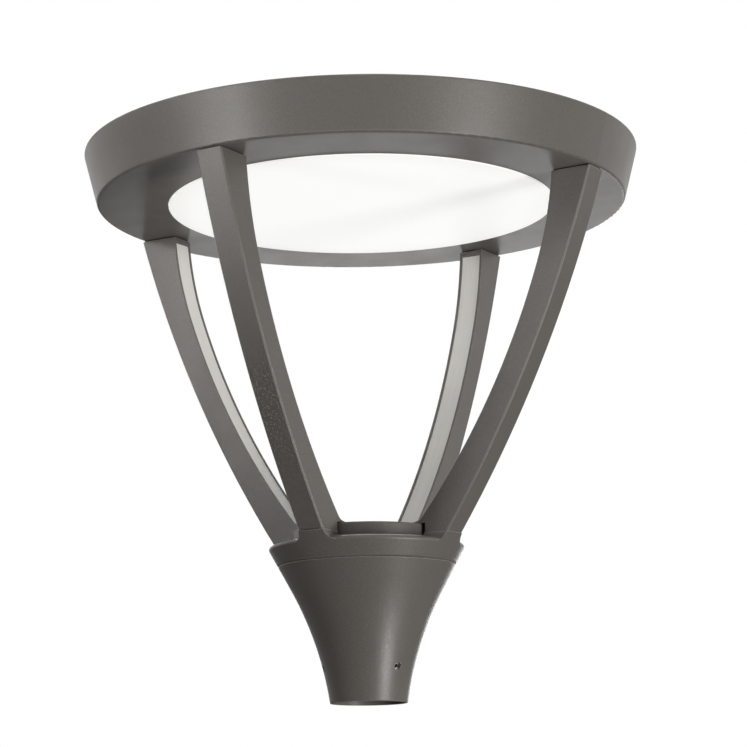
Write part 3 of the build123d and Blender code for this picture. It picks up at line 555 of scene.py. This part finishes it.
def graphite_coat(coat):
    """Warm dark grey powder coat with fine metal flakes, and edges painted paler as a painted highlight."""
    material, tree, shader = new_material("graphite_coat")
    grain = use_group(tree, "Surface grain", Size=coat.grain)
    edges = use_group(tree, "Soft edges", Radius=coat.edge)
    fleck_and_highlight_colour = rgba(coat.fleck_and_highlight_colour)
    flakes = maths(tree, "MULTIPLY", grain["Fleck"], coat.fleck_share)
    # Painted highlight: edges are painted paler, towards the flake colour
    painted_edge_highlight = maths(tree, "MULTIPLY", edges["Edge"], coat.painted_highlight_share)
    dark, light = rgba(coat.colour, 1 - coat.mottle), rgba(coat.colour, 1 + coat.mottle)
    base = blend_colours(tree, grain["Speckle"], dark, light)
    base = blend_colours(tree, flakes, base, fleck_and_highlight_colour)
    base = blend_colours(tree, painted_edge_highlight, base, fleck_and_highlight_colour)
    rough = maths(tree, "MULTIPLY_ADD", grain["Patch"], coat.patch_roughness, coat.roughness)
    rough = maths(tree, "MULTIPLY_ADD", grain["Speckle"], coat.grain_roughness, rough)
    feed(
        tree, shader, Base_Color=base, Roughness=rough, Specular_IOR_Level=coat.shine,
        Metallic=maths(tree, "MULTIPLY", grain["Fleck"], coat.sparkle),
        Normal=bump(tree, grain["Relief"], coat.relief, edges["Normal"]))
    return material


def satin_strip(plastic):
    """Light-grey satin strip with fine lines drawn along it."""
    kind = SURFACES["grey_strip"]
    material, tree, shader = new_material("grey_strip")
    grain = use_group(tree, "Surface grain", Size=kind.grain)
    edges = use_group(tree, "Soft edges", Radius=kind.edge)
    place = split(tree, object_place(tree))
    # Each strip runs along one axis, so its smaller coordinate lies across its width
    aside = maths(tree, "MINIMUM", maths(tree, "ABSOLUTE", place["X"]), maths(tree, "ABSOLUTE", place["Y"]))
    drawn = vector(tree, X=aside, Z=maths(tree, "MULTIPLY", place["Z"], LINE_SQUEEZE))
    line = spread(tree, noise(tree, drawn, plastic.strip_line, *FINE), *GRAIN_SPAN)
    speckle = maths(tree, "MULTIPLY", grain["Speckle"], SPECKLE_SHARE)
    tone = maths(tree, "MULTIPLY_ADD", line, LINE_SHARE, speckle)
    base = blend_colours(tree, tone, rgba(plastic.strip, kind.dark), rgba(plastic.strip, kind.light))
    feed(
        tree, shader, Base_Color=base, Specular_IOR_Level=plastic.strip_shine,
        Roughness=maths(tree, "MULTIPLY_ADD", line, kind.unevenness, kind.roughness),
        Metallic=maths(tree, "MULTIPLY", grain["Fleck"], plastic.strip_sparkle),
        Normal=bump(tree, maths(tree, "ADD", line, grain["Relief"]), kind.relief, edges["Normal"]))
    return material


def mill_aluminium(metal):
    """Rolled sheet with fine streaks and faint stains."""
    kind = SURFACES["bare_aluminium"]
    material, tree, shader = new_material("bare_aluminium")
    streaks = use_group(tree, "Rolled streaks", Width=kind.grain)
    edges = use_group(tree, "Soft edges", Radius=kind.edge)
    base = blend_colours(tree, streaks["Streak"], rgba(metal.aluminium, kind.dark), rgba(metal.aluminium))
    feed(
        tree, shader, Base_Color=base, Metallic=1.0,
        Roughness=maths(tree, "MULTIPLY_ADD", streaks["Stain"], kind.unevenness, kind.roughness),
        Normal=bump(tree, streaks["Streak"], kind.relief, edges["Normal"]))
    return material


def printed_board(light):
    """White solder mask with the outlines of its copper tracks just showing."""
    kind = SURFACES["board_white"]
    material, tree, shader = new_material("board_white")
    grain = use_group(tree, "Surface grain", Size=kind.grain)
    rings = put(
        tree, "ShaderNodeTexWave", {"Vector": object_place(tree), "Scale": TRACK_SCALE, "Distortion": 0.0},
        wave_type="RINGS", rings_direction="Z", wave_profile="SIN").outputs["Fac"]
    track = spread(tree, rings, *TRACK_SPAN)
    mask = blend_colours(tree, grain["Patch"], rgba(light.board, kind.dark), rgba(light.board))
    base = blend_colours(tree, maths(tree, "MULTIPLY", track, light.track_share), mask, rgba(light.track))
    feed(
        tree, shader, Base_Color=base, Normal=bump(tree, track, kind.relief),
        Roughness=maths(tree, "MULTIPLY_ADD", grain["Speckle"], kind.unevenness, kind.roughness))
    return material


def phosphor_gel(light):
    """Yellow phosphor gel in a chip's window."""
    kind = SURFACES["led_yellow"]
    material, tree, shader = new_material("led_yellow")
    grain = use_group(tree, "Surface grain", Size=kind.grain)
    base = blend_colours(tree, grain["Speckle"], rgba(light.phosphor, kind.dark), rgba(light.phosphor))
    rough = maths(tree, "MULTIPLY_ADD", grain["Patch"], kind.unevenness, kind.roughness)
    feed(tree, shader, Base_Color=base, Roughness=rough)
    return material


# Pieces

def dress(nodes, material):
    """Gives CAD nodes a finish."""
    for name in nodes:
        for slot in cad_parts[name].material_slots:
            slot.material = material


def solids_in(node):
    """Corners of each separate solid of a CAD node, in the order of the solids in its mesh."""
    mesh = bmesh.new()
    mesh.from_mesh(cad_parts[node].data)
    bmesh.ops.remove_doubles(mesh, verts=mesh.verts, dist=SAME_PLACE)
    left = set(mesh.verts)
    solids = []
    for first in mesh.verts:
        if first not in left:
            continue
        left.remove(first)
        queue = [first]
        corners = []
        while queue:
            corner = queue.pop()
            corners.append(corner.co.copy())
            near = {v for edge in corner.link_edges for v in edge.verts} & left
            left -= near
            queue.extend(near)
        solids.append(corners)
    mesh.free()
    return solids


def middle_of(corners):
    """Middle of the box round some corners."""
    low = Vector([min(c[i] for c in corners) for i in range(3)])
    high = Vector([max(c[i] for c in corners) for i in range(3)])
    return (low + high) / 2


def off_axis(corner, middle, aim):
    """Distance of a corner from the line through a middle."""
    rest = corner - middle
    return (rest - aim * rest.dot(aim)).length


def measure_screw(corners, aim):
    """Seat, direction towards the head, and sizes of one screw."""
    middle = middle_of(corners)
    heights = [(c - middle).dot(aim) for c in corners]
    radii = [off_axis(c, middle, aim) for c in corners]
    low, high = min(heights), max(heights)
    touch = END_SHARE * (high - low)
    low_r = max(r for h, r in zip(heights, radii) if h < low + touch)
    high_r = max(r for h, r in zip(heights, radii) if h > high - touch)
    if low_r > high_r * HEAD_STEP:
        return measure_screw(corners, -aim)
    head = [h for h, r in zip(heights, radii) if r > low_r * HEAD_STEP]
    seat = min(head) if head else high
    return {
        "seat": middle + aim * seat, "aim": aim, "shank_r": low_r, "shank_l": seat - low,
        "head_r": high_r, "head_h": high - seat,
    }


def moved(tree, part, height):
    """Geometry moved along Z."""
    place = vector(tree, Z=height)
    return put(tree, "GeometryNodeTransform", {"Geometry": part, "Translation": place}).outputs[0]


def coated(tree, part, finish, **where):
    """Geometry in a finish, all over or where a selection says."""
    return put(tree, "GeometryNodeSetMaterial", {"Geometry": part, "Material": finish, **where}).outputs[0]


def turned(tree, sides, radius, depth, height):
    """Upright cylinder or prism with its middle at a height."""
    names = {"Vertices": sides, "Radius": radius, "Depth": depth}
    return moved(tree, put(tree, "GeometryNodeMeshCylinder", names).outputs["Mesh"], height)


def set_out(tree, given, parts, axis, spin, kept_finish, label):
    """Sets the joined parts on each place with an axis along its aim, and makes them real.

    They get the group's finish wherever they haven't the one that is kept.
    """
    joined = put(tree, "GeometryNodeJoinGeometry")
    for part in parts:
        tree.links.new(part, joined.inputs[0])
    aim = put(tree, "GeometryNodeInputNamedAttribute", {"Name": "aim"}, data_type="FLOAT_VECTOR").outputs[0]
    stand = put(tree, "FunctionNodeAlignRotationToVector", {"Vector": aim}, axis=axis).outputs[0]
    pose = put(tree, "FunctionNodeRotateRotation", {0: stand, 1: spin}, rotation_space="LOCAL").outputs[0]
    rows = put(tree, "GeometryNodeInstanceOnPoints", {
        "Points": given["Places"], "Instance": joined.outputs[0], "Rotation": pose}).outputs[0]
    real = put(tree, "GeometryNodeRealizeInstances", {"Geometry": rows}).outputs[0]
    kept = put(tree, "GeometryNodeMaterialSelection", {"Material": kept_finish}).outputs[0]
    free = put(tree, "FunctionNodeBooleanMath", {0: kept}, operation="NOT").outputs[0]
    put(tree, "NodeGroupOutput", {label: coated(tree, real, given["Finish"], Selection=free)})


def screw_tree(name):
    """Geometry nodes: a socket-head screw with a thread at each point, along the point's aim."""
    tree, given = new_group(
        name, "GeometryNodeTree",
        {
            "Places": (GEOMETRY, None), "Shank radius": (NUMBER, 0.002), "Shank length": (NUMBER, 0.012),
            "Head radius": (NUMBER, 0.0038), "Head height": (NUMBER, 0.0026),
            "Socket radius": (NUMBER, 0.002), "Socket depth": (NUMBER, 0.0016), "Pitch": (NUMBER, 0.0007),
            "Thread depth": (NUMBER, 0.0003), "Seed": (WHOLE, 7), "Finish": (FINISH, None),
            "Socket finish": (FINISH, None),
        },
        {"Screws": GEOMETRY})
    length, pitch, head_h = given["Shank length"], given["Pitch"], given["Head height"]
    head = turned(tree, HEAD_SIDES, given["Head radius"], head_h, maths(tree, "DIVIDE", head_h, 2.0))
    # The key's lower half cuts the socket, and the socket's walls take the socket finish, a dark colour that
    # paints the shade inside it
    key_h = maths(tree, "MULTIPLY", given["Socket depth"], 2.0)
    key = coated(tree, turned(tree, KEY_SIDES, given["Socket radius"], key_h, head_h), given["Socket finish"])
    names = {"Mesh 1": head, "Mesh 2": key}
    cut = put(tree, "GeometryNodeMeshBoolean", names, operation="DIFFERENCE").outputs["Mesh"]
    core_r = maths(tree, "SUBTRACT", given["Shank radius"], given["Thread depth"])
    core = turned(tree, SHANK_SIDES, core_r, length, maths(tree, "MULTIPLY", length, -0.5))
    run = maths(tree, "SUBTRACT", length, maths(tree, "MULTIPLY", pitch, RUN_OUT))
    coil = put(tree, "GeometryNodeCurveSpiral", {
        "Resolution": TURN_STEPS, "Rotations": maths(tree, "DIVIDE", run, pitch), "Start Radius": core_r,
        "End Radius": core_r, "Height": run}).outputs[0]
    tooth = put(tree, "GeometryNodeCurvePrimitiveCircle", {
        "Resolution": TOOTH_SIDES, "Radius": given["Thread depth"]}).outputs[0]
    thread = put(tree, "GeometryNodeCurveToMesh", {
        "Curve": coil, "Profile Curve": tooth, "Fill Caps": True}).outputs[0]
    start = maths(tree, "SUBTRACT", maths(tree, "MULTIPLY", pitch, RUN_OUT / 2), length)
    turn = put(
        tree, "FunctionNodeRandomValue", {2: 0.0, 3: math.tau, "Seed": given["Seed"]},
        data_type="FLOAT").outputs[1]
    spin = put(tree, "FunctionNodeAxisAngleToRotation", {"Axis": (0, 0, 1), "Angle": turn}).outputs[0]
    set_out(tree, given, (cut, core, moved(tree, thread, start)), "Z", spin, given["Socket finish"], "Screws")
    return tree


def chip_tree(name):
    """Geometry nodes: a light chip with a domed phosphor window at each point."""
    tree, given = new_group(
        name, "GeometryNodeTree",
        {
            "Places": (GEOMETRY, None), "Width": (NUMBER, 0.0035), "Height": (NUMBER, 0.0008),
            "Window": (NUMBER, 0.78), "Body finish": (FINISH, None), "Finish": (FINISH, None),
        },
        {"Chips": GEOMETRY})
    width = given["Width"]
    body_h = maths(tree, "MULTIPLY", given["Height"], BODY_SHARE)
    size = vector(tree, X=width, Y=width, Z=body_h)
    body = put(tree, "GeometryNodeMeshCube", {"Size": size}).outputs["Mesh"]
    body = coated(tree, moved(tree, body, maths(tree, "DIVIDE", body_h, 2.0)), given["Body finish"])
    window_r = maths(tree, "MULTIPLY", maths(tree, "DIVIDE", width, 2.0), given["Window"])
    dome = put(tree, "GeometryNodeMeshUVSphere", {
        "Segments": DOME_SEGMENTS, "Rings": DOME_RINGS, "Radius": window_r}).outputs["Mesh"]
    rise = maths(tree, "SUBTRACT", given["Height"], body_h)
    flat = vector(tree, X=1.0, Y=1.0, Z=maths(tree, "DIVIDE", rise, window_r))
    dome = put(tree, "GeometryNodeTransform", {"Geometry": dome, "Scale": flat}).outputs[0]
    down = put(tree, "FunctionNodeAxisAngleToRotation", {"Axis": (1, 0, 0), "Angle": math.pi}).outputs[0]
    set_out(tree, given, (body, moved(tree, dome, body_h)), "X", down, given["Body finish"], "Chips")
    return tree


def grow(name, places, aims, tree, values):
    """Plain mesh piece made by a geometry-nodes tree on some places."""
    seeds = bpy.data.meshes.new(name)
    seeds.from_pydata(places, [], [])
    attribute = seeds.attributes.new("aim", "FLOAT_VECTOR", "POINT")
    attribute.data.foreach_set("vector", [x for aim in aims for x in aim])
    piece = bpy.data.objects.new(name, seeds)
    bpy.context.scene.collection.objects.link(piece)
    modifier = piece.modifiers.new(name, "NODES")
    modifier.node_group = tree
    for socket in tree.interface.items_tree:
        if socket.item_type == "SOCKET" and socket.in_out == "INPUT" and socket.name in values:
            modifier[socket.identifier] = values[socket.name]
    grown = bpy.data.meshes.new_from_object(piece.evaluated_get(bpy.context.evaluated_depsgraph_get()))
    piece.modifiers.remove(modifier)
    for place in reversed(range(len(grown.materials))):
        if grown.materials[place] is None:
            grown.materials.pop(index=place)
    piece.data = grown
    return piece


def stand_for(piece, node):
    """The piece rides on the lantern in place of a CAD node."""
    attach(piece, ROOT)
    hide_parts(node)


def make_screws(node, pitch, metal, finish, socket_finish):
    """Threaded screws in the places of a CAD node's."""
    solids = solids_in(node)
    aims = [UP] * len(solids)
    if node == "grub_screws":
        aims = [Vector((*middle_of(s).xy, 0)).normalized() for s in solids]
    found = [measure_screw(s, aim) for s, aim in zip(solids, aims)]
    size = found[0]
    values = {
        "Shank radius": size["shank_r"], "Shank length": size["shank_l"], "Head radius": size["head_r"],
        "Head height": size["head_h"], "Socket radius": size["head_r"] * metal.socket_share,
        "Socket depth": size["head_h"] * KEY_DEPTH, "Pitch": pitch,
        "Thread depth": pitch * metal.thread_depth, "Seed": metal.seed, "Finish": finish,
        "Socket finish": socket_finish,
    }
    # A set screw has no head, so its outer end is made as one
    if size["head_h"] == 0:
        depth = size["shank_l"] * SET_HEAD_SHARE
        values |= {
            "Shank length": size["shank_l"] - depth, "Head height": depth,
            "Socket depth": depth * SET_KEY_DEPTH,
        }
        for screw in found:
            screw["seat"] -= screw["aim"] * depth
    tree = bpy.data.node_groups.get("Screws") or screw_tree("Screws")
    piece = grow(node + "_threaded", [s["seat"] for s in found], [s["aim"] for s in found], tree, values)
    stand_for(piece, node)


def make_chips(light):
    """Domed chips in the places of the CAD node's plain ones."""
    solids = solids_in("led_packages")
    low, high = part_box("led_packages")
    places = [Vector((*middle_of(s).xy, high.z)) for s in solids]
    aims = [Vector((*place.xy, 0)).normalized() for place in places]
    height = high.z - low.z
    # A square chip's corner lies half its diagonal away from its middle
    corner = max((c - middle_of(solids[0])).length for c in solids[0])
    width = math.sqrt(2 * (corner ** 2 - height ** 2 / 4))
    values = {
        "Width": width, "Height": height, "Window": light.window, "Finish": phosphor_gel(light),
        "Body finish": moulded_plastic("chip_body", light.body),
    }
    tree = bpy.data.node_groups.get("Chips") or chip_tree("Chips")
    stand_for(grow("led_chips", places, aims, tree, values), "led_packages")


# Stage

def around(angle, distance, height):
    """Place at an angle round the lantern's axis, where 0 is along -Y."""
    return Vector((distance * math.sin(angle), -distance * math.cos(angle), height))


def make_floor(stage):
    """Wide pale floor, far below, that keeps a soft shadow."""
    material, tree, shader = new_material("floor")
    feed(tree, shader, Base_Color=rgba(stage.floor), Roughness=0.9)
    seen = put(tree, "ShaderNodeLightPath").outputs["Is Camera Ray"]
    white = put(tree, "ShaderNodeEmission", {"Color": WHITE, "Strength": 1.0}).outputs[0]
    share = maths(tree, "MULTIPLY", seen, stage.paleness)
    mixed = put(tree, "ShaderNodeMixShader", {0: share, 1: shader.outputs[0], 2: white}).outputs[0]
    end = next(n for n in tree.nodes if n.bl_idname == "ShaderNodeOutputMaterial")
    tree.links.new(mixed, end.inputs["Surface"])
    mesh = bpy.data.meshes.new("floor")
    square = ((-1, -1), (1, -1), (1, 1), (-1, 1))
    corners = [(x * stage.reach, y * stage.reach, -stage.drop) for x, y in square]
    mesh.from_pydata(corners, [], [(0, 1, 2, 3)])
    mesh.materials.append(material)
    floor = bpy.data.objects.new("floor", mesh)
    bpy.context.scene.collection.objects.link(floor)


def make_surroundings(stage):
    """White to the camera and in reflections, and an even soft light on the lantern."""
    world = bpy.data.worlds.new("studio")
    bpy.context.scene.world = world
    world.use_nodes = True
    world.cycles.sampling_method = "NONE"
    tree = world.node_tree
    tree.nodes.clear()
    path = put(tree, "ShaderNodeLightPath").outputs
    seen = maths(tree, "MAXIMUM", path["Is Camera Ray"], path["Is Glossy Ray"])
    seen = maths(tree, "MAXIMUM", seen, path["Is Transmission Ray"])
    even = put(tree, "ShaderNodeBackground", {"Color": WHITE, "Strength": stage.ambient}).outputs[0]
    white = put(tree, "ShaderNodeBackground", {"Color": WHITE, "Strength": 1.0}).outputs[0]
    mixed = put(tree, "ShaderNodeMixShader", {0: seen, 1: even, 2: white}).outputs[0]
    put(tree, "ShaderNodeOutputWorld", {"Surface": mixed})


def make_lamp(stage, lamp):
    """Soft box that looks at a height on the lantern's axis."""
    data = bpy.data.lights.new(lamp.name, "AREA")
    data.shape = "RECTANGLE"
    data.size = lamp.wide
    data.size_y = lamp.tall
    data.energy = lamp.power
    data.spread = math.radians(lamp.grid)
    made = bpy.data.objects.new(lamp.name, data)
    bpy.context.scene.collection.objects.link(made)
    made.location = around(stage.turn + math.radians(lamp.turn), lamp.distance, lamp.height)
    made.rotation_euler = (UP * lamp.aim - made.location).to_track_quat("-Z", "Y").to_euler()
    made.visible_camera = False


def make_camera(stage):
    """Camera below the disc, looking up at it."""
    data = bpy.data.cameras.new("camera")
    data.lens = stage.lens
    data.sensor_width = SENSOR_WIDTH
    camera = bpy.data.objects.new("camera", data)
    bpy.context.scene.collection.objects.link(camera)
    place = Matrix.Translation(around(stage.turn, stage.distance, stage.height))
    heading = Matrix.Rotation(stage.turn - stage.swing, 4, "Z")
    tilt = Matrix.Rotation(math.pi / 2 + stage.tilt, 4, "X")
    lean = Matrix.Rotation(stage.roll, 4, "Z")
    camera.matrix_world = place @ heading @ tilt @ lean
    bpy.context.scene.camera = camera


# Operators

class LANTERN_OT_castings(bpy.types.Operator):
    """Coats the neck, hub, arms, housing and lid in graphite powder coat"""
    bl_idname = "lantern.castings"
    bl_label = "Coat the castings"

    def execute(self, context):
        dress(CASTINGS, graphite_coat(context.scene.lantern_coat))
        return {"FINISHED"}


class LANTERN_OT_strips(bpy.types.Operator):
    """Gives the strips in the arms their light-grey satin finish"""
    bl_idname = "lantern.strips"
    bl_label = "Finish the strips"

    def execute(self, context):
        dress(STRIPS, satin_strip(context.scene.lantern_plastic))
        return {"FINISHED"}


class LANTERN_OT_seals(bpy.types.Operator):
    """Gives seals, gaskets and grommets a matt rubber finish"""
    bl_idname = "lantern.seals"
    bl_label = "Finish the seals"

    def execute(self, context):
        dress(SEALS, moulded_plastic("black_rubber", context.scene.lantern_plastic.rubber))
        return {"FINISHED"}


class LANTERN_OT_diffuser(bpy.types.Operator):
    """Makes the diffuser opal"""
    bl_idname = "lantern.diffuser"
    bl_label = "Finish the diffuser"

    def execute(self, context):
        dress(["diffuser"], opal_sheet(context.scene.lantern_plastic))
        return {"FINISHED"}


class LANTERN_OT_sheets(bpy.types.Operator):
    """Finishes the gear tray, the clamp ring and the side reflector"""
    bl_idname = "lantern.sheets"
    bl_label = "Finish the sheet metal"

    def execute(self, context):
        metal = context.scene.lantern_metal
        dress(SHEETS, mill_aluminium(metal))
        dress(["side_reflector"], moulded_plastic("white_coat", metal.white))
        return {"FINISHED"}


class LANTERN_OT_gear(bpy.types.Operator):
    """Finishes the driver, the terminals, the surge protector and the leads"""
    bl_idname = "lantern.gear"
    bl_label = "Finish the gear"

    def execute(self, context):
        plastic = context.scene.lantern_plastic
        colours = {
            "white_plastic": plastic.white,
            "grey_plastic": plastic.grey,
            "driver_case": plastic.case,
            "lead_sheath": plastic.sheath,
        }
        for finish, colour in colours.items():
            dress(MOULDINGS[finish], moulded_plastic(finish, colour))
        return {"FINISHED"}


class LANTERN_OT_light_source(bpy.types.Operator):
    """Finishes the boards and sets a domed chip in the place of each plain one"""
    bl_idname = "lantern.light_source"
    bl_label = "Make the light source"

    def execute(self, context):
        light = context.scene.lantern_light
        dress(BOARDS, printed_board(light))
        make_chips(light)
        return {"FINISHED"}


class LANTERN_OT_screws(bpy.types.Operator):
    """Sets threaded socket-head screws in the places of the plain ones"""
    bl_idname = "lantern.screws"
    bl_label = "Make the screws"

    def execute(self, context):
        metal = context.scene.lantern_metal
        finish = zinc_steel(metal)
        # Painted shade: dark colour inside the key sockets
        socket_finish = moulded_plastic("painted_socket_shade", metal.socket)
        for node, pitch in SCREWS.items():
            make_screws(node, pitch / MM_PER_METRE, metal, finish, socket_finish)
        return {"FINISHED"}


class LANTERN_OT_stage(bpy.types.Operator):
    """Makes the pale floor, the even light, the soft lamps and the camera"""
    bl_idname = "lantern.stage"
    bl_label = "Make the stage"

    def execute(self, context):
        stage = context.scene.lantern_stage
        make_floor(stage)
        make_surroundings(stage)
        for lamp in LAMPS:
            make_lamp(stage, lamp)
        make_camera(stage)
        context.scene.view_settings.view_transform = "Standard"
        return {"FINISHED"}


STEPS = ["castings", "strips", "seals", "diffuser", "sheets", "gear", "light_source", "screws", "stage"]


class LANTERN_PT_panel(bpy.types.Panel):
    """Buttons and settings of the lantern"""
    bl_label = "Post-top lantern"
    bl_idname = "LANTERN_PT_panel"
    bl_space_type = "VIEW_3D"
    bl_region_type = "UI"
    bl_category = "Lantern"

    def draw(self, context):
        for step in STEPS:
            self.layout.operator("lantern." + step)
        for group in SETTINGS:
            box = self.layout.box()
            settings = getattr(context.scene, group)
            for name in settings.bl_rna.properties.keys():
                if name not in ("rna_type", "name"):
                    box.prop(settings, name)


SETTINGS = {
    "lantern_coat": CoatSettings,
    "lantern_plastic": PlasticSettings,
    "lantern_metal": MetalSettings,
    "lantern_light": LightSettings,
    "lantern_stage": StageSettings,
}
CLASSES = [
    *SETTINGS.values(),
    LANTERN_OT_castings,
    LANTERN_OT_strips,
    LANTERN_OT_seals,
    LANTERN_OT_diffuser,
    LANTERN_OT_sheets,
    LANTERN_OT_gear,
    LANTERN_OT_light_source,
    LANTERN_OT_screws,
    LANTERN_OT_stage,
    LANTERN_PT_panel,
]


def register():
    """Adds the classes, and the settings to the scene."""
    for kind in CLASSES:
        bpy.utils.register_class(kind)
    for name, kind in SETTINGS.items():
        setattr(bpy.types.Scene, name, PointerProperty(type=kind))


def unregister():
    """Takes the settings and the classes away again."""
    for name in SETTINGS:
        delattr(bpy.types.Scene, name)
    for kind in reversed(CLASSES):
        bpy.utils.unregister_class(kind)


def main():
    """Makes everything in order."""
    register()
    for step in STEPS:
        getattr(bpy.ops.lantern, step)()


if __name__ == "__main__":
    main()
